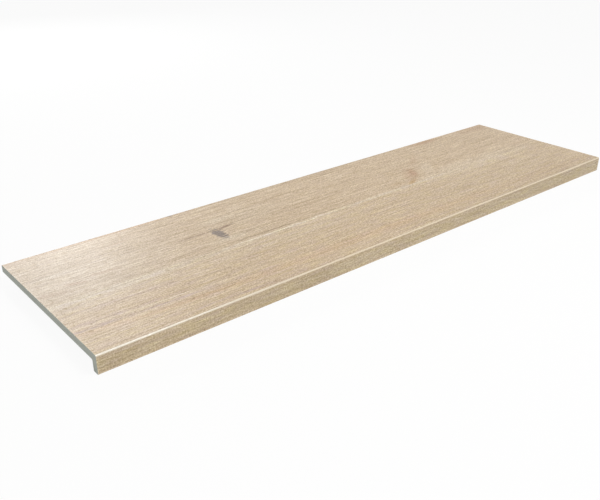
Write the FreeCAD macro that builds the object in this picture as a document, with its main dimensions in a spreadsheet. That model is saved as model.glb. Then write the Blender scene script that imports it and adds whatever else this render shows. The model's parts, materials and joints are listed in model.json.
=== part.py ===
import FreeCAD, Part
import os
import Sketcher

# A stair tread of wood-effect porcelain, pressed and fired as one piece: a flat slab whose
# front edge turns down into a short nose, so that its section is an L lying on its side.
# Millimetres, +Z up. X runs along the tread, and Y from the nose's face to the back edge.
# The origin is the middle of the tread's box, on the level of the nose's foot.

# Driving sizes: name, millimetres, what it measures
SIZES = (
    ("tread_length", "1200", "end to end, along X"),
    ("tread_depth", "328", "nose face to back edge, along Y"),
    ("nose_height", "30", "foot of the nose to the walking surface, along Z"),
    ("slab_thickness", "12", "bed face to walking surface"),
    ("nose_thickness", "12", "nose face to the wall behind it"),
    ("arris_radius", "2", "round of the front edge where the nose meets the walking surface"),
    ("corner_radius", "2", "round of the inside corner between bed face and nose"),
    ("foot_radius", "1", "rounds along both lower edges of the nose"),
    ("cut_bevel", "0.5", "bevel ground on the edges of the two ends and the back"),
)
TOLERANCE = 1e-6

doc = FreeCAD.newDocument("StairTread")

sheet = doc.addObject("Spreadsheet::Sheet", "Sizes")
for row, (name, value, meaning) in enumerate(SIZES, start=1):
    sheet.set(f"A{row}", name)
    sheet.set(f"B{row}", value)
    sheet.setAlias(f"B{row}", name)
    sheet.set(f"C{row}", meaning)
doc.recompute()

# Faces and levels of the section, from the middle of the depth and from the nose's foot
half_length = sheet.tread_length / 2
front = -sheet.tread_depth / 2
back = sheet.tread_depth / 2
nose_wall = front + sheet.nose_thickness
top = sheet.nose_height
bed = top - sheet.slab_thickness
foot = 0.0


def origin_plane(body, role):
    """The plane of that role in a body's own origin."""
    return next(plane for plane in body.Origin.OriginFeatures if plane.Role == role)


def along_the_tread(y, z):
    """A test for points on the straight edge that runs along X at this depth and height."""
    return lambda point: abs(point.y - y) < TOLERANCE and abs(point.z - z) < TOLERANCE


def on_an_end(point):
    """True for points in the plane of either end face."""
    return abs(abs(point.x) - half_length) < TOLERANCE


def edges_where(shape, wanted):
    """Names of the edges whose two ends and middle all pass the test."""
    names = []
    for number, edge in enumerate(shape.Edges, start=1):
        middle = edge.valueAt((edge.FirstParameter + edge.LastParameter) / 2)
        points = [vertex.Point for vertex in edge.Vertexes] + [middle]
        if all(wanted(point) for point in points):
            names.append(f"Edge{number}")
    return names


def dress_edges(body, kind, name, measure, size, *tests):
    """Adds a fillet or chamfer to the body's edges that pass a test, its measure bound to a size."""
    base = body.Tip
    edges = [edge for wanted in tests for edge in edges_where(base.Shape, wanted)]
    if not edges:
        raise RuntimeError(f"{name} found no edge")
    feature = body.newObject(kind, name)
    feature.Base = (base, edges)
    feature.setExpression(measure, f"{sheet.Name}.{size}")
    doc.recompute()


tread = doc.addObject("PartDesign::Body", "StairTread")
tread.Label = "stair_tread"

# The L section, in the plane across the tread: its corners in order round the outline
section = tread.newObject("Sketcher::SketchObject", "Section")
section.AttachmentSupport = (origin_plane(tread, "YZ_Plane"), [""])
section.MapMode = "FlatFace"
corners = [
    FreeCAD.Vector(y, z, 0)
    for y, z in (
        (front, foot),
        (front, top),
        (back, top),
        (back, bed),
        (nose_wall, bed),
        (nose_wall, foot),
    )
]
sides = list(zip(corners, corners[1:] + corners[:1]))
NOSE_FACE, WALKING_FACE, BACK_FACE, BED_FACE, NOSE_WALL, NOSE_FOOT = range(len(sides))
START, END = range(1, 3)  # a side's two ends, as a sketch counts them
HORIZONTAL_AXIS, VERTICAL_AXIS = range(-1, -3, -1)  # a sketch's own axes
for start, end in sides:
    section.addGeometry(Part.LineSegment(start, end), False)
for side in range(len(sides)):
    following = (side + 1) % len(sides)
    section.addConstraint(Sketcher.Constraint("Coincident", side, END, following, START))
for side in (NOSE_FACE, BACK_FACE, NOSE_WALL):
    section.addConstraint(Sketcher.Constraint("Vertical", side))
for side in (BED_FACE, NOSE_FOOT):
    section.addConstraint(Sketcher.Constraint("Horizontal", side))
# The walking face is level and centred, and the nose stands on the axis
section.addConstraint(
    Sketcher.Constraint("Symmetric", WALKING_FACE, START, WALKING_FACE, END, VERTICAL_AXIS)
)
section.addConstraint(Sketcher.Constraint("PointOnObject", NOSE_FACE, START, HORIZONTAL_AXIS))
for measure, side, first, last, size in (
    ("DistanceX", WALKING_FACE, START, END, "tread_depth"),
    ("DistanceY", NOSE_FACE, START, END, "nose_height"),
    ("DistanceY", BACK_FACE, END, START, "slab_thickness"),
    ("DistanceX", NOSE_FOOT, END, START, "nose_thickness"),
):
    dimension = section.addConstraint(
        Sketcher.Constraint(measure, side, first, side, last, getattr(sheet, size))
    )
    section.renameConstraint(dimension, size)
    section.setExpression(f"Constraints.{size}", f"{sheet.Name}.{size}")
doc.recompute()

# The section carried along X, half of the length to each side
slab = tread.newObject("PartDesign::Pad", "Slab")
slab.Profile = section
slab.SideType = "Symmetric"
slab.setExpression("Length", f"{sheet.Name}.tread_length")
doc.recompute()

# Rounds along the tread first, so that the bevel round each end follows them
dress_edges(
    tread, "PartDesign::Fillet", "FrontArris", "Radius", "arris_radius", along_the_tread(front, top)
)
dress_edges(
    tread, "PartDesign::Fillet", "InsideCorner", "Radius", "corner_radius", along_the_tread(nose_wall, bed)
)
dress_edges(
    tread,
    "PartDesign::Fillet",
    "NoseFoot",
    "Radius",
    "foot_radius",
    along_the_tread(front, foot),
    along_the_tread(nose_wall, foot),
)
dress_edges(
    tread,
    "PartDesign::Chamfer",
    "CutEdges",
    "Size",
    "cut_bevel",
    on_an_end,
    along_the_tread(back, top),
    along_the_tread(back, bed),
)

for item in doc.Objects:
    if {"Invalid", "Error"} & set(item.State):
        raise RuntimeError(f"{item.Label} did not recompute: {item.State}")
if tread.Shape.isNull() or not tread.Shape.isValid() or len(tread.Shape.Solids) != 1:
    raise RuntimeError(f"{tread.Label} is not one sound solid")

os.makedirs("parts", exist_ok=True)
tread.Shape.exportStep(f"parts/{tread.Label}.step")
print(tread.Label, "volume", round(tread.Shape.Volume), "mm3, box", tread.Shape.BoundBox)
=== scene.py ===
"""Oak-effect porcelain stair tread: the printed, grained glaze, the bare porcelain body and a studio.

The tread is one closed surface, its L section carried along X. Metres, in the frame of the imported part:
X along the tread, Y from the nose to the back edge, Z up.
Places in the print are (along, down): millimetres from the left end, and from the back edge over the
walking face, round the front arris and down the nose.
"""

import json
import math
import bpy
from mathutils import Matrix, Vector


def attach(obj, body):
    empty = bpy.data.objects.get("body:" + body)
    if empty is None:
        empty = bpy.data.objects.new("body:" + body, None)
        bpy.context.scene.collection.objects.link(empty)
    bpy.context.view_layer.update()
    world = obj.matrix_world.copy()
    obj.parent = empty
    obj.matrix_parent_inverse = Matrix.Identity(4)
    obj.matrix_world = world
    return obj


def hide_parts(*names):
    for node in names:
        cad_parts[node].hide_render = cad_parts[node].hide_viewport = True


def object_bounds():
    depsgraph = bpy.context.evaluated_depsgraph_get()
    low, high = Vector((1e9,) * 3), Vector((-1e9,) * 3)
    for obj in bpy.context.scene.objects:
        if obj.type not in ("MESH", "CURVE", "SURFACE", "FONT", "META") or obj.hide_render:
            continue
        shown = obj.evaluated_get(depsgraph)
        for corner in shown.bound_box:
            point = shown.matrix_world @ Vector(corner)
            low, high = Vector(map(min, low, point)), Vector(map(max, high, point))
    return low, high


bl_info = {
    "name": "Oak-effect stair tread",
    "version": (1, 0, 0),
    "blender": (4, 5, 0),
    "location": "3D View > Sidebar > Stair tread",
    "description": "Dresses a porcelain stair tread with its oak print and sets it in a studio",
    "category": "Add Mesh",
}

from typing import NamedTuple

import bpy
import numpy as np
from mathutils import Vector

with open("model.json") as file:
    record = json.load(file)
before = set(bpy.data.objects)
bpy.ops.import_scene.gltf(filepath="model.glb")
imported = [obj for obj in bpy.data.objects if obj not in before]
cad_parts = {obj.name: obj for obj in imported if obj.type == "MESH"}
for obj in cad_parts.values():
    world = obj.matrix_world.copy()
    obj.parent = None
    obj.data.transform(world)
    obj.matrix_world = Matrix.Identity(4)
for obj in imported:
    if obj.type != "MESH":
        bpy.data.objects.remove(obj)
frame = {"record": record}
CAD_LOW, CAD_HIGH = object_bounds()
MOUNTS = {mount["name"]: Vector(mount["pos_m"]) for mount in frame["record"]["mounts"]}

MM = 0.001
NODE = "stair_tread"
BODY = "root"
PRINT_MAP = "print"
BAKE_MAP = "OFBake"
GRAIN = "grain"
WHITE = (1, 1, 1, 1)
# Middle of a noise's values, of the oak's ramp and of the bake map
MIDDLE = 0.5
# Sockets of a colour Mix node, by number
MIX_SHARE, MIX_FIRST, MIX_SECOND, MIX_RESULT = 0, 6, 7, 2

# Steps of the section's rounds and of its short flats
ARRIS_STEPS, FOOT_STEPS, CORNER_STEPS = 6, 4, 5
FLAT_STEPS, WALL_STEPS, BACK_STEPS, BEVEL_STEPS = 4, 6, 5, 1
# Steps across the grain that make one step along the plain bed face
BED_STEP = 12
# Millimetres over which the grain fades out at the edges of the glaze
GRAIN_FADE = 4.0
# Faces that meet at a larger angle have a sharp edge between them
SHARP_DEGREES = 34
# Bake map: its margin, the rows where the glaze and the bare skin end, and the row where the ends start
BAKE_MARGIN = 0.01
BAKE_GLAZE, BAKE_SKIN, BAKE_ENDS = 0.74, 0.88, 0.90


def linear(code):
    """An sRGB hex colour as linear red, green and blue, by the sRGB standard's curve."""
    values = np.array([int(code[i : i + 2], 16) / 255 for i in (1, 3, 5)])
    return tuple(np.where(values <= 0.04045, values / 12.92, ((values + 0.055) / 1.055) ** 2.4))


# How far the edge of a mark is torn, in millimetres, where the mark doesn't say
EDGE_SHAKE = 1.6


class Mark(NamedTuple):
    """A lens-shaped stain on the print, in millimetres and degrees.

    Soft is the share of its reach that fades out, strength the share of its ink, sunk its depth in the
    relief, and shake how far its edge is torn.
    """

    along: float
    down: float
    half_length: float
    half_width: float
    turn: float
    soft: float
    ink: str
    strength: float
    sunk: float = 0.0
    shake: float = EDGE_SHAKE


class Layer(NamedTuple):
    """A layer of noise: the length and width of its streaks in millimetres, its amount and its octaves."""

    length: float
    width: float
    amount: float
    octaves: float = 2.0


class Pattern(NamedTuple):
    """Layers of the print that share a strength.

    Channel is the one of the zones that gives the strength, and left and right are the shares of it at
    the left end and where the grade ends.
    """

    layers: tuple
    channel: str
    left: float
    right: float


class Zone(NamedTuple):
    """A stretch of the print with a cut of its own, held as one colour of a ramp.

    Red is the strength of its streaks, green that of its dots and flecks, blue where it reads the noise,
    in metres, and alpha its share of the change of hue.
    """

    streaks: float
    flecks: float
    shift: float
    hue: float


class Lamp(NamedTuple):
    """A soft box: its place and the point it faces, its width and height, and its power in watts."""

    name: str
    place: tuple
    aim: tuple
    width: float
    height: float
    power: float


# Inks of the print, beside the oak tones that the panel sets
KNOT_INK = "#887a70"
CRACK_INK = "#9c8068"
FEATHER_INK = "#b89677"
ROOT_INK = "#b8976c"
SEAM_INK = "#a08a6c"
PALE_INK = "#e6d8c2"
WARM_INK = "#c8a27c"
LILAC_INK = "#bda495"
# Painted reflection: a cooler tint under the sheen at the back board's left end
COOL_PAINTED_SHEEN_INK = "#c4af95"
# Painted light on the left end of the nose
NOSE_PAINTED_LIGHT_INK = "#d3ba9b"
NOSE_INK = "#c7b394"
SHADE_INK = "#b09a7e"
# Ends of the faint change of hue over each board
LILAC_CAST = "#c7af9c"
OCHRE_CAST = "#cfb88d"

# Shares of a mark's reach that fade out
CRISP = 0.35
SOFT = 0.9
# Half length of a mark that is as strong at the ends as in the middle
ENDLESS = 60000
# Where the two printed boards meet
SEAM_DOWN = 170

MARKS = (
    # The seam between the two printed boards: a dark line on its back side, pale bands on its front side
    Mark(418, 167, 210, 3.4, 0, SOFT, SEAM_INK, 0.70, 0.06),
    Mark(400, 177, 150, 4.4, 0, SOFT, PALE_INK, 0.36),
    Mark(190, 180, 400, 14.0, 0, SOFT, PALE_INK, 0.32),
    Mark(640, 175, 340, 6.0, 0, SOFT, PALE_INK, 0.52),
    Mark(430, 206, 270, 26.0, 0, SOFT, PALE_INK, 0.14),
    Mark(960, 172, 330, 40.0, 0, SOFT, PALE_INK, 0.24),
    # The knot, its tail and the crack across its head, in paler wood
    Mark(331, 120, 11.5, 23.0, -1, CRISP, KNOT_INK, 0.95, 0.20, 7.0),
    Mark(335, 134.5, 8.0, 6.0, -1, CRISP, KNOT_INK, 0.36),
    Mark(297, 104.5, 46.0, 4.4, 3, SOFT, CRACK_INK, 0.52, 0.06),
    Mark(357, 103, 33.0, 4.8, -9, SOFT, CRACK_INK, 1.00, 0.10),
    Mark(350, 147, 110.0, 24.0, 0, SOFT, PALE_INK, 0.18),
    Mark(336, 147, 46.0, 11.0, 0, SOFT, PALE_INK, 0.24),
    Mark(354, 71, 50.0, 13.0, 0, SOFT, PALE_INK, 0.22),
    Mark(410, 86, 130.0, 50.0, 0, SOFT, PALE_INK, 0.16),
    # The feather that crosses the back board to its root at the seam, and the paler wood beside it
    Mark(798, 134, 56.0, 21.0, -50, SOFT, FEATHER_INK, 0.52),
    Mark(811, 133, 36.0, 13.5, -60, SOFT, FEATHER_INK, 0.80),
    Mark(772, 165, 28.0, 8.5, -22, SOFT, ROOT_INK, 0.95),
    Mark(745, 157, 32.0, 13.0, 8, SOFT, ROOT_INK, 0.30),
    Mark(872, 76, 54.0, 11.0, -38, SOFT, FEATHER_INK, 0.30),
    Mark(858, 126, 50.0, 20.0, -42, SOFT, PALE_INK, 0.22),
    # A cooler cast over the back board's left end, a painted reflection that makes the sheen there read
    # whiter
    Mark(0, 110, 330, 180.0, 0, SOFT, COOL_PAINTED_SHEEN_INK, 1.00),
    # Rosy streaks near the back board's left end, and a pale one
    Mark(64, 131, 28.0, 6.0, 12, SOFT, FEATHER_INK, 0.80),
    Mark(113, 124, 36.0, 6.0, 4, SOFT, FEATHER_INK, 0.58),
    Mark(25, 143, 44.0, 9.0, 6, SOFT, FEATHER_INK, 0.44),
    Mark(175, 44, 34.0, 4.4, 0, SOFT, FEATHER_INK, 0.50),
    Mark(136, 161, 36.0, 4.6, 0, SOFT, CRACK_INK, 0.30),
    Mark(52, 87, 44.0, 9.0, 0, SOFT, PALE_INK, 0.24),
    # Redder heartwood at the back edge and the right end, with a shaded stretch and a small knot
    Mark(170, 3, 260, 7.0, 0, SOFT, WARM_INK, 0.50),
    Mark(580, 1, 420, 6.0, 0, SOFT, SHADE_INK, 0.35),
    Mark(305, 2, 9.0, 7.0, 0, SOFT, KNOT_INK, 0.60),
    Mark(985, 8, 80.0, 13.0, 0, SOFT, FEATHER_INK, 0.80),
    Mark(1165, 10, 110.0, 36.0, 0, SOFT, FEATHER_INK, 0.40),
    Mark(1168, 150, 70.0, 12.0, 3, SOFT, FEATHER_INK, 0.18),
    # Warm bands and shaded stretches of the front board
    Mark(500, 289, 560, 19.0, 0.4, SOFT, WARM_INK, 0.26),
    Mark(980, 303, 480, 22.0, 0.4, SOFT, WARM_INK, 0.11),
    Mark(960, 314, 560, 40.0, 0, SOFT, SHADE_INK, 0.38),
    Mark(40, 240, 130, 40.0, 0, SOFT, SHADE_INK, 0.10),
    Mark(60, 238, 180, 60.0, 0, SOFT, WARM_INK, 0.14),
    Mark(900, 248, 400, 72.0, 0, SOFT, SHADE_INK, 0.24),
    # Lilac lines along the front board's left half, with pale and warm ones between them
    Mark(160, 270, 250, 5.0, 2.6, SOFT, LILAC_INK, 0.60),
    Mark(22, 263, 80, 4.6, 3, SOFT, LILAC_INK, 0.75),
    Mark(65, 250, 130, 4.6, 1.5, SOFT, LILAC_INK, 0.50),
    Mark(125, 219, 135, 4.6, 3, SOFT, LILAC_INK, 0.55),
    Mark(260, 316, 150, 4.6, 1.5, SOFT, LILAC_INK, 0.65),
    Mark(120, 259, 170, 5.0, 2.6, SOFT, PALE_INK, 0.25),
    Mark(150, 283, 190, 7.0, 2.6, SOFT, WARM_INK, 0.30),
    Mark(40, 272, 80, 6.0, 3, SOFT, WARM_INK, 0.35),
    # The print over the nose is a little greener from end to end; its left end is lighter by painted light
    Mark(600, 344, ENDLESS, 24.0, 0, SOFT, NOSE_INK, 1.00),
    Mark(100, 344, 230, 24.0, 0, SOFT, NOSE_PAINTED_LIGHT_INK, 0.90),
)

# Relief of the pressed grain; an amount is a depth in millimetres
RELIEF = (
    Layer(420, 38.0, 0.08),
    Layer(150, 3.4, 0.14),
    Layer(60, 2.6, 0.10),
)
RELIEF_DEPTH = sum(layer.amount for layer in RELIEF)
# Tones of the oak's ramp on top of the relief and at its depth
RAISED_TONE, SUNK_TONE = 0.62, 0.38

# Streaks of the printed boards, from growth bands to fibres, the finest drawn wider than real ones to show
STREAKS = (
    Layer(520, 46.0, 0.12),
    Layer(230, 9.0, 0.08),
    Layer(140, 2.6, 0.36, 0.0),
    Layer(50, 2.2, 0.34, 0.0),
    Layer(16, 1.9, 0.30, 0.0),
)
# Dots of the inkjet print, drawn as coarse as the picture needs to show them
DOTS = (Layer(2.2, 2.2, 0.90, 0.0),)
# Short flecks of the wood, drawn wider than real ones to show
FLECKS = (Layer(4.6, 2.2, 0.90, 0.0),)
# Towards the right end the streaks grow fainter and the flecks stronger
PATTERNS = (
    Pattern(STREAKS, "Red", 1.2, 1.0),
    Pattern(DOTS, "Green", 1.0, 1.0),
    Pattern(FLECKS, "Green", 0.3, 1.0),
)
# Millimetres from the left end to the end of that grade
GRADE = 1000
BACK_BOARD = Zone(1.15, 0.8, 0.0, 0.4)
FRONT_BOARD = Zone(0.85, 0.85, 1.0, 1.0)
NOSE = Zone(0.7, 0.7, 2.0, 1.0)
# Bands of the change of hue
TINT = Layer(36, 6.5, 1.0, 1.0)
# Wander of the grain; its amount is in millimetres across the board
WANDER = Layer(320, 60.0, 10.0)
# Noise that tears the edges of the marks, and how far from its middle it tears them in full
TEAR = Layer(13, 3.5, 1.0)
TEAR_FULL = 0.3
# Pores, drawn wider than real ones to show, and the values of their noise at a pore's rim and core
PORES = Layer(9, 1.5, 0.25, 1.0)
PORE_RIM, PORE_CORE = 0.02, 0.06
# How much rougher a pore makes the glaze, and the strength and the depth in millimetres of its bump
PORE_ROUGHNESS, PORE_BUMP, PORE_DEPTH = 0.4, 0.35, 0.2

# Paler line over the arris, partly thin glaze and partly painted highlight: millimetres from the middle of
# the round to its core and to its edges
ARRIS_CORE, ARRIS_EDGE, ARRIS_WIDE_EDGE = 0.8, 2.0, 3.0
# Places along the arris from which its painted highlight makes it paler, and where it is palest
PAINTED_HIGHLIGHT_FROM, PAINTED_HIGHLIGHT_FULL = 420, 40

# Typical of glaze and of porcelain
CERAMIC_IOR = 1.5
# Mineral grains of the bare body, drawn coarser than real ones to show: millimetres, octaves and gain
MINERAL_SIZE, MINERAL_OCTAVES, MINERAL_GAIN = 2.2, 4, 0.7
# Strength and depth in millimetres of their bump
MINERAL_BUMP, MINERAL_DEPTH = 0.25, 0.1
# Clouds of the bare body: millimetres, octaves and their share beside the grains
CLOUD_SIZE, CLOUD_OCTAVES, CLOUD_SHARE = 60, 3, 0.6
# Sums of grains and clouds at which the body is darkest and palest, and the ends of its roughness
BODY_DARKEST, BODY_PALEST = 0.45, 1.15
BODY_SMOOTHEST, BODY_ROUGHEST = 0.55, 0.75

PAPER = "#f4f4f2"
# Metres from the middle of the floor to its sides
FLOOR_REACH = 8.0
LAMPS = (
    Lamp("key", (0.22, -1.0, 1.75), (0.0, 0.0, 0.0), 0.6, 0.45, 19.0),
    Lamp("sheen", (0.29, 2.36, 1.07), (-0.45, 0.05, 0.03), 0.5, 0.5, 20.5),
    Lamp("fill", (-1.1, -1.2, 1.2), (0.0, 0.0, 0.0), 0.8, 0.8, 2.5),
)


class TreadSizes(bpy.types.PropertyGroup):
    """Sizes of the tread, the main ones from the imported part."""

    slab_thickness: bpy.props.FloatProperty(
        name="Slab", description="Bed face to walking surface", unit="LENGTH",
        default=CAD_HIGH.z - MOUNTS["bed"].z,
    )
    nose_thickness: bpy.props.FloatProperty(
        name="Nose", description="Nose face to the wall behind it", unit="LENGTH",
        default=MOUNTS["nose_wall"].y - CAD_LOW.y,
    )
    arris_radius: bpy.props.FloatProperty(
        name="Front arris", description="Round of the edge that the foot meets", unit="LENGTH",
        default=2 * MM,
    )
    corner_radius: bpy.props.FloatProperty(
        name="Inside corner", description="Round between bed face and nose", unit="LENGTH",
        default=2 * MM,
    )
    foot_radius: bpy.props.FloatProperty(
        name="Nose foot", description="Rounds along the lower edges of the nose", unit="LENGTH",
        default=1 * MM,
    )
    cut_bevel: bpy.props.FloatProperty(
        name="Cut bevel", description="Bevel on the edges of the ends and the back", unit="LENGTH",
        default=0.5 * MM,
    )
    grain_step: bpy.props.FloatProperty(
        name="Grain step", description="Distance between grid lines across the grain", unit="LENGTH",
        default=1.1 * MM,
    )
    length_step: bpy.props.FloatProperty(
        name="Length step", description="Distance between grid lines along the tread", unit="LENGTH",
        default=5.5 * MM,
    )


class TreadLook(bpy.types.PropertyGroup):
    """Colours and gloss of the glaze and the body."""

    oak_dark: bpy.props.FloatVectorProperty(
        name="Oak, dark", description="Ink of the late wood", subtype="COLOR", default=linear("#a28a6a"),
    )
    oak_middle: bpy.props.FloatVectorProperty(
        name="Oak", description="Ink of the board", subtype="COLOR", default=linear("#cbb395"),
    )
    oak_pale: bpy.props.FloatVectorProperty(
        name="Oak, pale", description="Ink of the early wood", subtype="COLOR", default=linear("#eeddc3"),
    )
    glaze_roughness: bpy.props.FloatProperty(
        name="Glaze roughness", description="Satin of the fired glaze", subtype="FACTOR", default=0.48,
    )
    glaze_gloss: bpy.props.FloatProperty(
        name="Glaze gloss", description="Mirror strength of the fired glaze", subtype="FACTOR",
        default=0.5,
    )
    # Partly thin glaze and partly painted highlight along the arris
    arris: bpy.props.FloatVectorProperty(
        name="Arris", description="Glaze over the front arris", subtype="COLOR", default=linear("#e8d7bb"),
    )
    # Painted highlight: the arris painted paler towards the left end
    arris_painted_highlight: bpy.props.FloatVectorProperty(
        name="Arris, left end", description="Paler glaze where the arris nears the left end",
        subtype="COLOR", default=linear("#f0e7d5"),
    )
    arris_roughness: bpy.props.FloatProperty(
        name="Arris roughness", description="Smoother glaze over the arris", subtype="FACTOR",
        default=0.22,
    )
    arris_gloss: bpy.props.FloatProperty(
        name="Arris gloss", description="Mirror strength of the glaze over the arris", subtype="FACTOR",
        default=1.0,
    )
    porcelain: bpy.props.FloatVectorProperty(
        name="Porcelain", description="Bare fired body", subtype="COLOR", default=linear("#c0c4ba"),
    )
    porcelain_dark: bpy.props.FloatVectorProperty(
        name="Porcelain, dark", description="Darker grains of the body", subtype="COLOR",
        default=linear("#aeb3a8"),
    )


class StudioLook(bpy.types.PropertyGroup):
    """Camera, floor and light of the studio."""

    camera_place: bpy.props.FloatVectorProperty(
        name="Camera", description="From the left end of the front arris", subtype="XYZ", unit="LENGTH",
        default=(-0.305475, -0.771774, 0.536776),
    )
    camera_yaw: bpy.props.FloatProperty(
        name="Yaw", description="Turn to the right of +Y", subtype="ANGLE", default=math.radians(39.900),
    )
    camera_pitch: bpy.props.FloatProperty(
        name="Pitch", description="Look down", subtype="ANGLE", default=math.radians(26.136),
    )
    lens: bpy.props.FloatProperty(
        name="Lens", description="Focal length in mm on a 36 mm sensor", default=44.494,
    )
    floor_white: bpy.props.FloatProperty(
        name="White floor", description="Share of plain white that the camera sees in the floor",
        subtype="FACTOR", default=0.93,
    )
    sky: bpy.props.FloatProperty(
        name="Sky", description="Light from all round", default=0.39,
    )
    backdrop: bpy.props.FloatProperty(
        name="Backdrop", description="White behind the floor, as pale as the floor far off", default=0.955,
    )


def stretch(start, end, steps):
    """Even points along a straight line; its end is left for the next stretch."""
    return np.linspace(start, end, steps, endpoint=False)


def bend(centre, radius, start, end, steps):
    """Even points round an arc, centre + radius (cos a, sin a), in degrees; its end is left out."""
    angle = np.radians(np.linspace(start, end, steps, endpoint=False))
    return np.asarray(centre) + radius * np.stack([np.cos(angle), np.sin(angle)], axis=-1)


def section(sizes, inset):
    """The L outline as (y, z) points, with every face moved in by inset, and where its glaze ends.

    It starts at the back of the walking face and runs to the front, round the arris, down the nose,
    under its foot, up the wall behind, along the bed face and up the back edge.
    """
    front, back = CAD_LOW.y + inset, CAD_HIGH.y - inset
    foot, top = CAD_LOW.z + inset, CAD_HIGH.z - inset
    wall = CAD_LOW.y + sizes.nose_thickness - inset
    bed = CAD_HIGH.z - sizes.slab_thickness + inset
    arris, lower = sizes.arris_radius - inset, sizes.foot_radius - inset
    inner = sizes.corner_radius + inset
    # A bevel that moves in with the faces beside it loses this much of its width on each of them
    cut = sizes.cut_bevel - (2 - math.sqrt(2)) * inset

    step = sizes.grain_step
    depth, rise = CAD_HIGH.y - CAD_LOW.y, CAD_HIGH.z - CAD_LOW.z
    glazed = [
        stretch((back - cut, top), (front + arris, top), round(depth / step)),
        bend((front + arris, top - arris), arris, 90, 180, ARRIS_STEPS),
        stretch((front, top - arris), (front, foot + lower), round(rise / step)),
        bend((front + lower, foot + lower), lower, 180, 270, FOOT_STEPS),
    ]
    bare = [
        stretch((front + lower, foot), (wall - lower, foot), FLAT_STEPS),
        bend((wall - lower, foot + lower), lower, 270, 360, FOOT_STEPS),
        stretch((wall, foot + lower), (wall, bed - inner), WALL_STEPS),
        bend((wall + inner, bed - inner), inner, 180, 90, CORNER_STEPS),
        stretch((wall + inner, bed), (back - cut, bed), round(depth / (BED_STEP * step))),
        stretch((back - cut, bed), (back, bed + cut), BEVEL_STEPS),
        stretch((back, bed + cut), (back, top - cut), BACK_STEPS),
        stretch((back, top - cut), (back - cut, top), BEVEL_STEPS),
    ]
    return np.concatenate(glazed + bare), sum(len(part) for part in glazed)


def smoothstep(value, low, high):
    """0 below low, 1 above high, and the cubic 3t^2 - 2t^3 between them."""
    t = np.clip((value - low) / (high - low), 0, 1)
    return t * t * (3 - 2 * t)


def smooth_noise(along, down, layer, seed):
    """Value noise from 0 to 1: random numbers on a lattice of the layer's cells, joined by smoothsteps."""
    u, v = along / layer.length, down / layer.width
    column, row = np.floor(u).astype(int), np.floor(v).astype(int)
    across, below = smoothstep(u - column, 0, 1), smoothstep(v - row, 0, 1)
    lattice = np.random.default_rng(seed).random((column.max() + 2, row.max() + 2))
    near = lattice[column, row] * (1 - across) + lattice[column + 1, row] * across
    far = lattice[column, row + 1] * (1 - across) + lattice[column + 1, row + 1] * across
    return near * (1 - below) + far * below


def grain_depth(along, down, glaze_length, tread_length):
    """Depth of the pressed grain in millimetres at places in the print.

    It is the sum of the relief's layers of noise and of the sunk marks, and fades out at the ends, at
    the back edge and at the foot of the nose.
    """
    depth = sum(
        layer.amount * smooth_noise(along, down, layer, seed) for seed, layer in enumerate(RELIEF)
    )
    for mark in MARKS:
        if mark.sunk:
            turn = math.radians(mark.turn)
            x, y = along - mark.along, down - mark.down
            u = (x * math.cos(turn) + y * math.sin(turn)) / mark.half_length
            v = (y * math.cos(turn) - x * math.sin(turn)) / mark.half_width
            depth = depth + mark.sunk * (1 - smoothstep(np.hypot(u, v), 1 - mark.soft, 1))
    ends = smoothstep(along, 0, GRAIN_FADE) * smoothstep(tread_length - along, 0, GRAIN_FADE)
    edges = smoothstep(down, 0, GRAIN_FADE) * smoothstep(glaze_length - down, 0, GRAIN_FADE)
    return depth * ends * edges


def tread_maps(x, outline, walked, glazed):
    """The print map and the bake map, a place for each corner of the tread's faces.

    The print map is metres along and down. The bake map is the skin unrolled, its glaze largest, with
    the right and the left end beyond it.
    """
    points = len(outline)
    i, j = np.meshgrid(np.arange(len(x) - 1), np.arange(points), indexing="ij")
    corner_i = np.stack([i, i, i + 1, i + 1], axis=-1)
    corner_j = np.stack([j, j + 1, j + 1, j], axis=-1)
    skin = np.stack([x[corner_i] - CAD_LOW.x, walked[corner_j]], axis=-1).reshape(-1, 2)
    ends = np.concatenate([outline, outline[::-1]])
    print_map = np.concatenate([skin, ends])

    columns = BAKE_MARGIN + (1 - 2 * BAKE_MARGIN) * skin[:, 0] / (CAD_HIGH.x - CAD_LOW.x)
    rows = np.interp(
        skin[:, 1], [0, walked[glazed], walked[-1]], [BAKE_MARGIN, BAKE_GLAZE, BAKE_SKIN]
    )
    across = (ends[:, 0] - CAD_LOW.y) / (CAD_HIGH.y - CAD_LOW.y)
    upward = (ends[:, 1] - CAD_LOW.z) / (CAD_HIGH.z - CAD_LOW.z)
    first_columns = np.repeat([MIDDLE + BAKE_MARGIN, BAKE_MARGIN], points)
    end_columns = first_columns + (MIDDLE - 2 * BAKE_MARGIN) * across
    end_rows = BAKE_ENDS + (1 - BAKE_MARGIN - BAKE_ENDS) * upward
    bake_map = np.concatenate([
        np.stack([columns, rows], axis=-1),
        np.stack([end_columns, end_rows], axis=-1),
    ])
    return {PRINT_MAP: print_map, BAKE_MAP: bake_map}


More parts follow.
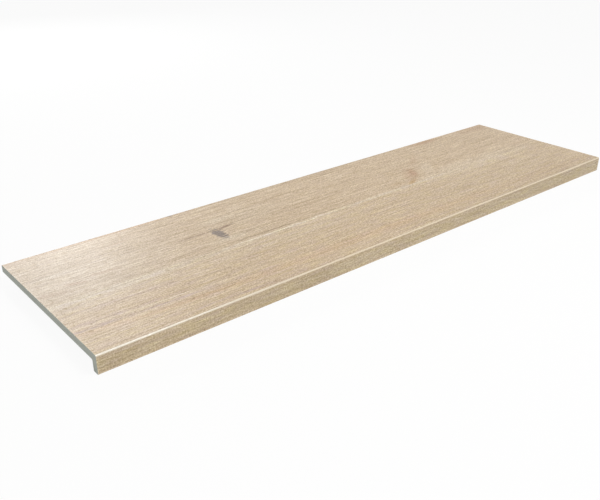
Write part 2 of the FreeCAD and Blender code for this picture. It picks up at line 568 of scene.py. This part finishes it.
def tread_surface(sizes):
    """The section carried along X from end to end: vertices, faces, their finishes, the grain and maps.

    Vertex (i, j) is station i along X and point j of the section, moved in along the section's normal
    by the depth of the grain. The first and last stations are moved in by the cut bevel all round.
    """
    outline, glazed = section(sizes, 0.0)
    cut_outline, _ = section(sizes, sizes.cut_bevel)
    points = len(outline)
    closed = np.concatenate([outline, outline[:1]])
    walked = np.concatenate([[0.0], np.cumsum(np.linalg.norm(np.diff(closed, axis=0), axis=1))])
    tangent = np.roll(outline, -1, axis=0) - np.roll(outline, 1, axis=0)
    normal = np.stack([tangent[:, 1], -tangent[:, 0]], axis=-1)
    normal /= np.linalg.norm(normal, axis=1, keepdims=True)

    length = CAD_HIGH.x - CAD_LOW.x
    middle = np.linspace(
        CAD_LOW.x + sizes.cut_bevel, CAD_HIGH.x - sizes.cut_bevel, round(length / sizes.length_step)
    )
    x = np.concatenate([[CAD_LOW.x], middle, [CAD_HIGH.x]])
    stations = len(x)
    along, down = np.meshgrid((x - CAD_LOW.x) / MM, walked[:points] / MM, indexing="ij")
    depth = grain_depth(along, down, walked[glazed] / MM, length / MM)
    depth[:, glazed:] = 0.0

    ring = np.repeat(outline[None], stations, axis=0) - depth[..., None] * MM * normal
    ring[[0, -1]] = cut_outline
    vertices = np.concatenate([np.broadcast_to(x[:, None, None], (stations, points, 1)), ring], axis=-1)

    i, j = np.meshgrid(np.arange(stations - 1), np.arange(points), indexing="ij")
    after = (j + 1) % points
    quads = np.stack(
        [i * points + j, i * points + after, (i + 1) * points + after, (i + 1) * points + j], axis=-1
    ).reshape(-1, 4)
    right = (stations - 1) * points + np.arange(points)
    left = np.arange(points)[::-1]
    faces = quads.tolist() + [right.tolist(), left.tolist()]

    # The glaze is finish 0. The bevels at the ends, and both ends, are as bare as the rest of the body
    inner_station = (i > 0) & (i < stations - 2)
    bare = ~(inner_station & (j < glazed))
    finishes = np.concatenate([bare.ravel(), [True, True]]).astype(np.int32)
    return vertices.reshape(-1, 3), faces, finishes, depth.ravel(), tread_maps(x, outline, walked, glazed)


def node(tree, kind, inputs=None, **settings):
    """Adds a node, sets its properties, and sets or links its inputs by name or number."""
    made = tree.nodes.new(kind)
    for name, value in settings.items():
        setattr(made, name, value)
    for socket, value in (inputs or {}).items():
        if isinstance(value, bpy.types.NodeSocket):
            tree.links.new(value, made.inputs[socket])
        else:
            made.inputs[socket].default_value = value
    return made


def new_material(name):
    """A material with an empty node tree."""
    material = bpy.data.materials.new(name)
    material.use_nodes = True
    material.node_tree.nodes.clear()
    return material, material.node_tree


def layered(tree, place, layers):
    """The sum of the layers of noise at places in the print, each about 0 and as strong as its amount.

    Each is stretched to its length and width, and starts at a place of its own.
    """
    total = -MIDDLE * sum(layer.amount for layer in layers)
    for seed, layer in enumerate(layers):
        scaled = node(
            tree, "ShaderNodeMapping",
            {
                "Vector": place,
                "Location": (seed, seed, 0),
                "Scale": (layer.length * MM, layer.width * MM, 1),
            },
            vector_type="TEXTURE",
        )
        noise = node(
            tree, "ShaderNodeTexNoise",
            {"Vector": scaled.outputs[0], "Scale": 1, "Detail": layer.octaves},
            noise_dimensions="2D",
        )
        total = node(
            tree, "ShaderNodeMath",
            {0: noise.outputs["Fac"], 1: layer.amount, 2: total}, operation="MULTIPLY_ADD",
        ).outputs[0]
    return total


def oak_boards(tree, look, place, arris_down):
    """The colour of the printed oak without its marks, and its pores, which are below 0 where dark."""
    along, down, _ = node(tree, "ShaderNodeSeparateXYZ", {0: place}).outputs

    # Each zone is a cut of its own: it reads the noise elsewhere, and has its own streaks and flecks
    zones = node(tree, "ShaderNodeValToRGB", {"Fac": down})
    zones.color_ramp.interpolation = "CONSTANT"
    first, last = zones.color_ramp.elements
    first.color = BACK_BOARD
    last.position, last.color = arris_down, NOSE
    zones.color_ramp.elements.new(SEAM_DOWN * MM).color = FRONT_BOARD
    zone = node(tree, "ShaderNodeSeparateColor", {0: zones.outputs["Color"]}).outputs
    shift = node(tree, "ShaderNodeCombineXYZ", {"X": zone["Blue"], "Y": zone["Blue"]})
    board_place = node(
        tree, "ShaderNodeVectorMath", {0: place, 1: shift.outputs[0]}, operation="ADD"
    ).outputs[0]

    # The grain wanders by some millimetres across the board over a few hundred along it
    wide = node(
        tree, "ShaderNodeMapping",
        {"Vector": board_place, "Scale": (WANDER.length * MM, WANDER.width * MM, 1)},
        vector_type="TEXTURE",
    )
    wander = node(
        tree, "ShaderNodeTexNoise", {"Vector": wide.outputs[0], "Scale": 1, "Detail": WANDER.octaves},
        noise_dimensions="2D",
    )
    grain_place = node(
        tree, "ShaderNodeVectorMath",
        {0: wander.outputs["Color"], 1: (0, WANDER.amount * MM, 0), 2: board_place},
        operation="MULTIPLY_ADD",
    ).outputs[0]

    # Pores are the upper part of their noise: dark, and pressed into the glaze
    pores = node(
        tree, "ShaderNodeMapRange",
        {
            "Value": layered(tree, grain_place, (PORES,)),
            "From Min": PORE_RIM,
            "From Max": PORE_CORE,
            "To Max": -PORES.amount,
        },
    ).outputs[0]
    pressed = node(tree, "ShaderNodeAttribute", attribute_name=GRAIN).outputs["Fac"]
    hollow = node(
        tree, "ShaderNodeMapRange",
        {"Value": pressed, "From Max": RELIEF_DEPTH, "To Min": RAISED_TONE, "To Max": SUNK_TONE},
        clamp=False,
    )
    tone = node(tree, "ShaderNodeMath", {0: hollow.outputs[0], 1: pores}, operation="ADD").outputs[0]
    for pattern in PATTERNS:
        graded = node(
            tree, "ShaderNodeMapRange",
            {"Value": along, "From Max": GRADE * MM, "To Min": pattern.left, "To Max": pattern.right},
        )
        strength = node(
            tree, "ShaderNodeMath", {0: zone[pattern.channel], 1: graded.outputs[0]}, operation="MULTIPLY"
        )
        tone = node(
            tree, "ShaderNodeMath",
            {0: layered(tree, grain_place, pattern.layers), 1: strength.outputs[0], 2: tone},
            operation="MULTIPLY_ADD",
        ).outputs[0]
    oak = node(tree, "ShaderNodeValToRGB", {"Fac": tone})
    dark, pale = oak.color_ramp.elements
    dark.color, pale.color = (*look.oak_dark, 1), (*look.oak_pale, 1)
    oak.color_ramp.elements.new(MIDDLE).color = (*look.oak_middle, 1)

    # The hue wanders from lilac to ochre in short bands, least of all on the back board
    cast = node(
        tree, "ShaderNodeMapRange",
        {"Value": layered(tree, grain_place, (TINT,)), "From Min": -MIDDLE, "From Max": MIDDLE},
    )
    lilac, ochre = [(*np.divide(linear(code), look.oak_middle), 1) for code in (LILAC_CAST, OCHRE_CAST)]
    tint = node(
        tree, "ShaderNodeMix", {MIX_SHARE: cast.outputs[0], MIX_FIRST: lilac, MIX_SECOND: ochre},
        data_type="RGBA",
    )
    tinted = node(
        tree, "ShaderNodeMix",
        {
            MIX_SHARE: zones.outputs["Alpha"],
            MIX_FIRST: oak.outputs["Color"],
            MIX_SECOND: tint.outputs[MIX_RESULT],
        },
        data_type="RGBA", blend_type="MULTIPLY",
    )
    return tinted.outputs[MIX_RESULT], pores


def stained(tree, look, place, colour):
    """The colour with all marks on it, each of which multiplies it by its ink over the oak's own.

    The marks have ragged edges, and thin ones break up, as their reach is shaken by noise.
    """
    ragged = node(
        tree, "ShaderNodeMapRange",
        {
            "Value": layered(tree, place, (TEAR,)),
            "From Min": -TEAR_FULL,
            "From Max": TEAR_FULL,
            "To Min": -1,
            "To Max": 1,
        },
    ).outputs[0]
    for mark in MARKS:
        local = node(
            tree, "ShaderNodeMapping",
            {
                "Vector": place,
                "Location": (mark.along * MM, mark.down * MM, 0),
                "Rotation": (0, 0, math.radians(mark.turn)),
                "Scale": (mark.half_length * MM, mark.half_width * MM, 1),
            },
            vector_type="TEXTURE",
        )
        reach = node(tree, "ShaderNodeVectorMath", {0: local.outputs[0]}, operation="LENGTH")
        shaken = node(
            tree, "ShaderNodeMath",
            {
                0: ragged,
                1: mark.shake / min(mark.half_length, mark.half_width),
                2: reach.outputs["Value"],
            },
            operation="MULTIPLY_ADD",
        )
        inked = node(
            tree, "ShaderNodeMapRange",
            {
                "Value": shaken.outputs[0],
                "From Min": 1,
                "From Max": 1 - mark.soft,
                "To Max": mark.strength,
            },
            interpolation_type="SMOOTHSTEP",
        )
        stain = np.divide(linear(mark.ink), look.oak_middle)
        colour = node(
            tree, "ShaderNodeMix",
            {MIX_SHARE: inked.outputs[0], MIX_FIRST: colour, MIX_SECOND: (*stain, 1)},
            data_type="RGBA", blend_type="MULTIPLY",
        ).outputs[MIX_RESULT]
    return colour


def arris_glaze_and_painted_highlight(tree, look, place, arris_down, colour):
    """The colour with the paler line over the arris, partly thin glaze and partly painted highlight, and
    its share.

    The share falls with the distance from the middle of the round.
    """
    along, down, _ = node(tree, "ShaderNodeSeparateXYZ", {0: place}).outputs
    offset = node(tree, "ShaderNodeMath", {0: down, 1: arris_down}, operation="SUBTRACT")
    distance = node(tree, "ShaderNodeMath", {0: offset.outputs[0]}, operation="ABSOLUTE").outputs[0]
    share = node(
        tree, "ShaderNodeMapRange",
        {"Value": distance, "From Min": ARRIS_EDGE * MM, "From Max": ARRIS_CORE * MM},
        interpolation_type="SMOOTHSTEP",
    ).outputs[0]
    # The arris's own colour: partly thin glaze, partly painted highlight
    thin = node(
        tree, "ShaderNodeMix", {MIX_SHARE: share, MIX_FIRST: colour, MIX_SECOND: (*look.arris, 1)},
        data_type="RGBA",
    )

    # Painted highlight: towards the left end the arris is painted paler, over a wider strip
    leftward = node(
        tree, "ShaderNodeMapRange",
        {"Value": along, "From Min": PAINTED_HIGHLIGHT_FROM * MM, "From Max": PAINTED_HIGHLIGHT_FULL * MM},
    )
    painted_highlight_strip = node(
        tree, "ShaderNodeMapRange",
        {
            "Value": distance,
            "From Min": ARRIS_WIDE_EDGE * MM,
            "From Max": ARRIS_CORE * MM,
            "To Max": leftward.outputs[0],
        },
        interpolation_type="SMOOTHSTEP",
    )
    pale = node(
        tree, "ShaderNodeMix",
        {
            MIX_SHARE: painted_highlight_strip.outputs[0],
            MIX_FIRST: thin.outputs[MIX_RESULT],
            MIX_SECOND: (*look.arris_painted_highlight, 1),
        },
        data_type="RGBA",
    )
    return pale.outputs[MIX_RESULT], share


def glazed_oak_print(look, arris_down):
    """Porcelain stoneware under a satin glaze, inkjet-printed with two oak boards and fired.

    The eye sees pale oak of low contrast: streaks and short pores along the tread, a seam between the
    boards, a knot and a feather, a soft sheen off the glaze, and a smoother line over the arris, paler
    partly from the thinner glaze and partly from a painted highlight, most of all towards the left end.
    """
    material, tree = new_material("glazed_oak_print")
    place = node(tree, "ShaderNodeUVMap", uv_map=PRINT_MAP).outputs["UV"]
    boards, pores = oak_boards(tree, look, place, arris_down)
    printed = stained(tree, look, place, boards)
    colour, arris = arris_glaze_and_painted_highlight(tree, look, place, arris_down, printed)

    smooth = node(
        tree, "ShaderNodeMapRange",
        {"Value": arris, "To Min": look.glaze_roughness, "To Max": look.arris_roughness},
    )
    rough = node(
        tree, "ShaderNodeMath", {0: pores, 1: -PORE_ROUGHNESS, 2: smooth.outputs[0]},
        operation="MULTIPLY_ADD",
    )
    gloss = node(
        tree, "ShaderNodeMapRange",
        {"Value": arris, "To Min": look.glaze_gloss, "To Max": look.arris_gloss},
    )
    bump = node(
        tree, "ShaderNodeBump", {"Strength": PORE_BUMP, "Distance": PORE_DEPTH * MM, "Height": pores}
    )
    shader = node(
        tree, "ShaderNodeBsdfPrincipled",
        {
            "Base Color": colour,
            "Specular IOR Level": gloss.outputs[0],
            "Roughness": rough.outputs[0],
            "Normal": bump.outputs[0],
            "IOR": CERAMIC_IOR,
        },
    )
    node(tree, "ShaderNodeOutputMaterial", {"Surface": shader.outputs[0]})
    return material


def bare_porcelain(look):
    """Unglazed porcelain stoneware, fired and then sawn and ground at the edges.

    The eye sees a dense, dull, grey-green body with fine mineral grains and faint clouds.
    """
    material, tree = new_material("bare_porcelain")
    place = node(tree, "ShaderNodeTexCoord").outputs["Object"]
    grains = node(
        tree, "ShaderNodeTexNoise",
        {
            "Vector": place,
            "Scale": 1 / (MINERAL_SIZE * MM),
            "Detail": MINERAL_OCTAVES,
            "Roughness": MINERAL_GAIN,
        },
    ).outputs["Fac"]
    clouds = node(
        tree, "ShaderNodeTexNoise",
        {"Vector": place, "Scale": 1 / (CLOUD_SIZE * MM), "Detail": CLOUD_OCTAVES},
    )
    both = node(
        tree, "ShaderNodeMath", {0: clouds.outputs["Fac"], 1: CLOUD_SHARE, 2: grains},
        operation="MULTIPLY_ADD",
    )
    shade = node(
        tree, "ShaderNodeMapRange",
        {"Value": both.outputs[0], "From Min": BODY_DARKEST, "From Max": BODY_PALEST},
    )
    colour = node(
        tree, "ShaderNodeMix",
        {
            MIX_SHARE: shade.outputs[0],
            MIX_FIRST: (*look.porcelain_dark, 1),
            MIX_SECOND: (*look.porcelain, 1),
        },
        data_type="RGBA",
    )
    rough = node(
        tree, "ShaderNodeMapRange", {"Value": grains, "To Min": BODY_SMOOTHEST, "To Max": BODY_ROUGHEST}
    )
    bump = node(
        tree, "ShaderNodeBump",
        {"Strength": MINERAL_BUMP, "Distance": MINERAL_DEPTH * MM, "Height": grains},
    )
    shader = node(
        tree, "ShaderNodeBsdfPrincipled",
        {
            "Base Color": colour.outputs[MIX_RESULT],
            "Roughness": rough.outputs[0],
            "Normal": bump.outputs[0],
            "IOR": CERAMIC_IOR,
        },
    )
    node(tree, "ShaderNodeOutputMaterial", {"Surface": shader.outputs[0]})
    return material


def add_object(name, data):
    """Links a new object to the scene, at the origin."""
    made = bpy.data.objects.new(name, data)
    bpy.context.scene.collection.objects.link(made)
    return made


class STAIRTREAD_OT_tread(bpy.types.Operator):
    """Build the tread's surface and its two finishes"""

    bl_idname = "stairtread.tread"
    bl_label = "Tread"

    def execute(self, context):
        sizes, look = context.scene.tread_sizes, context.scene.tread_look
        vertices, faces, finishes, depth, maps = tread_surface(sizes)
        mesh = bpy.data.meshes.new("oak_effect_tread")
        mesh.from_pydata(vertices, [], faces)
        for name, places in maps.items():
            mesh.uv_layers.new(name=name).data.foreach_set("uv", places.astype(np.float32).ravel())
        mesh.attributes.new(GRAIN, "FLOAT", "POINT").data.foreach_set("value", depth.astype(np.float32))
        mesh.polygons.foreach_set("material_index", finishes)
        mesh.shade_smooth()
        mesh.set_sharp_from_angle(angle=math.radians(SHARP_DEGREES))
        # The way down to the middle of the arris: the face up to the round, and half the quarter arc
        face_depth = CAD_HIGH.y - CAD_LOW.y - sizes.cut_bevel
        arris_down = face_depth - (1 - math.pi / 4) * sizes.arris_radius
        mesh.materials.append(glazed_oak_print(look, arris_down))
        mesh.materials.append(bare_porcelain(look))
        if mesh.validate(verbose=True):
            raise RuntimeError("the tread's mesh had faults")
        tread = add_object("oak_effect_tread", mesh)
        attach(tread, BODY)
        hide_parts(NODE)
        return {"FINISHED"}


def seen_rays(tree):
    """1 for rays from the camera and those mirrored or passed on by a surface, and 0 for light."""
    path = node(tree, "ShaderNodeLightPath").outputs
    seen = node(
        tree, "ShaderNodeMath", {0: path["Is Camera Ray"], 1: path["Is Glossy Ray"]}, operation="MAXIMUM"
    )
    return node(
        tree, "ShaderNodeMath", {0: seen.outputs[0], 1: path["Is Transmission Ray"]}, operation="MAXIMUM"
    ).outputs[0]


def studio_paper(look):
    """Pale paper, seen mostly as plain white, which still takes the tread's shadow."""
    material, tree = new_material("studio_paper")
    paper = node(tree, "ShaderNodeBsdfDiffuse", {"Color": (*linear(PAPER), 1)})
    white = node(tree, "ShaderNodeEmission", {"Color": WHITE})
    share = node(tree, "ShaderNodeMath", {0: seen_rays(tree), 1: look.floor_white}, operation="MULTIPLY")
    mixed = node(
        tree, "ShaderNodeMixShader", {0: share.outputs[0], 1: paper.outputs[0], 2: white.outputs[0]}
    )
    node(tree, "ShaderNodeOutputMaterial", {"Surface": mixed.outputs[0]})
    return material


def studio_world(look):
    """Even light from all round, seen as a white backdrop."""
    world = bpy.data.worlds.new("studio")
    world.use_nodes = True
    tree = world.node_tree
    tree.nodes.clear()
    strength = node(
        tree, "ShaderNodeMath", {0: seen_rays(tree), 1: look.backdrop - look.sky, 2: look.sky},
        operation="MULTIPLY_ADD",
    )
    sky = node(tree, "ShaderNodeBackground", {"Color": WHITE, "Strength": strength.outputs[0]})
    node(tree, "ShaderNodeOutputWorld", {"Surface": sky.outputs[0]})
    return world


class STAIRTREAD_OT_studio(bpy.types.Operator):
    """Lay the floor, hang the soft boxes and set the camera"""

    bl_idname = "stairtread.studio"
    bl_label = "Studio"

    def execute(self, context):
        scene, look = context.scene, context.scene.studio_look
        scene.view_settings.view_transform = "Standard"
        scene.world = studio_world(look)

        mesh = bpy.data.meshes.new("studio_floor")
        near, far = -FLOOR_REACH, FLOOR_REACH
        corners = [(near, near), (far, near), (far, far), (near, far)]
        mesh.from_pydata([(x, y, CAD_LOW.z) for x, y in corners], [], [range(len(corners))])
        mesh.materials.append(studio_paper(look))
        add_object("studio_floor", mesh)

        for lamp in LAMPS:
            light = bpy.data.lights.new(lamp.name, "AREA")
            light.shape = "RECTANGLE"
            light.size, light.size_y = lamp.width, lamp.height
            light.energy = lamp.power
            hung = add_object(lamp.name, light)
            hung.location = lamp.place
            hung.rotation_euler = (Vector(lamp.aim) - hung.location).to_track_quat("-Z", "Y").to_euler()

        camera = add_object("camera", bpy.data.cameras.new("camera"))
        camera.data.lens = look.lens
        corner = Vector((CAD_LOW.x, CAD_LOW.y, CAD_HIGH.z))
        camera.location = corner + Vector(look.camera_place)
        ahead = Vector((
            math.sin(look.camera_yaw) * math.cos(look.camera_pitch),
            math.cos(look.camera_yaw) * math.cos(look.camera_pitch),
            -math.sin(look.camera_pitch),
        ))
        camera.rotation_euler = ahead.to_track_quat("-Z", "Y").to_euler()
        scene.camera = camera
        return {"FINISHED"}


class STAIRTREAD_PT_sidebar(bpy.types.Panel):
    """Sizes, colours and studio of the tread, and the buttons that build them"""

    bl_label = "Stair tread"
    bl_idname = "STAIRTREAD_PT_sidebar"
    bl_space_type = "VIEW_3D"
    bl_region_type = "UI"
    bl_category = "Stair tread"

    def draw(self, context):
        scene = context.scene
        for operator, groups in (
            (STAIRTREAD_OT_tread, (scene.tread_sizes, scene.tread_look)),
            (STAIRTREAD_OT_studio, (scene.studio_look,)),
        ):
            box = self.layout.box()
            for group in groups:
                for name in group.__annotations__:
                    box.prop(group, name)
            box.operator(operator.bl_idname)


GROUPS = {"tread_sizes": TreadSizes, "tread_look": TreadLook, "studio_look": StudioLook}
CLASSES = (*GROUPS.values(), STAIRTREAD_OT_tread, STAIRTREAD_OT_studio, STAIRTREAD_PT_sidebar)


def register():
    for each in CLASSES:
        bpy.utils.register_class(each)
    for name, group in GROUPS.items():
        setattr(bpy.types.Scene, name, bpy.props.PointerProperty(type=group))


def unregister():
    for name in GROUPS:
        delattr(bpy.types.Scene, name)
    for each in reversed(CLASSES):
        bpy.utils.unregister_class(each)


def main():
    register()
    bpy.ops.stairtread.tread()
    bpy.ops.stairtread.studio()


if __name__ == "__main__":
    main()
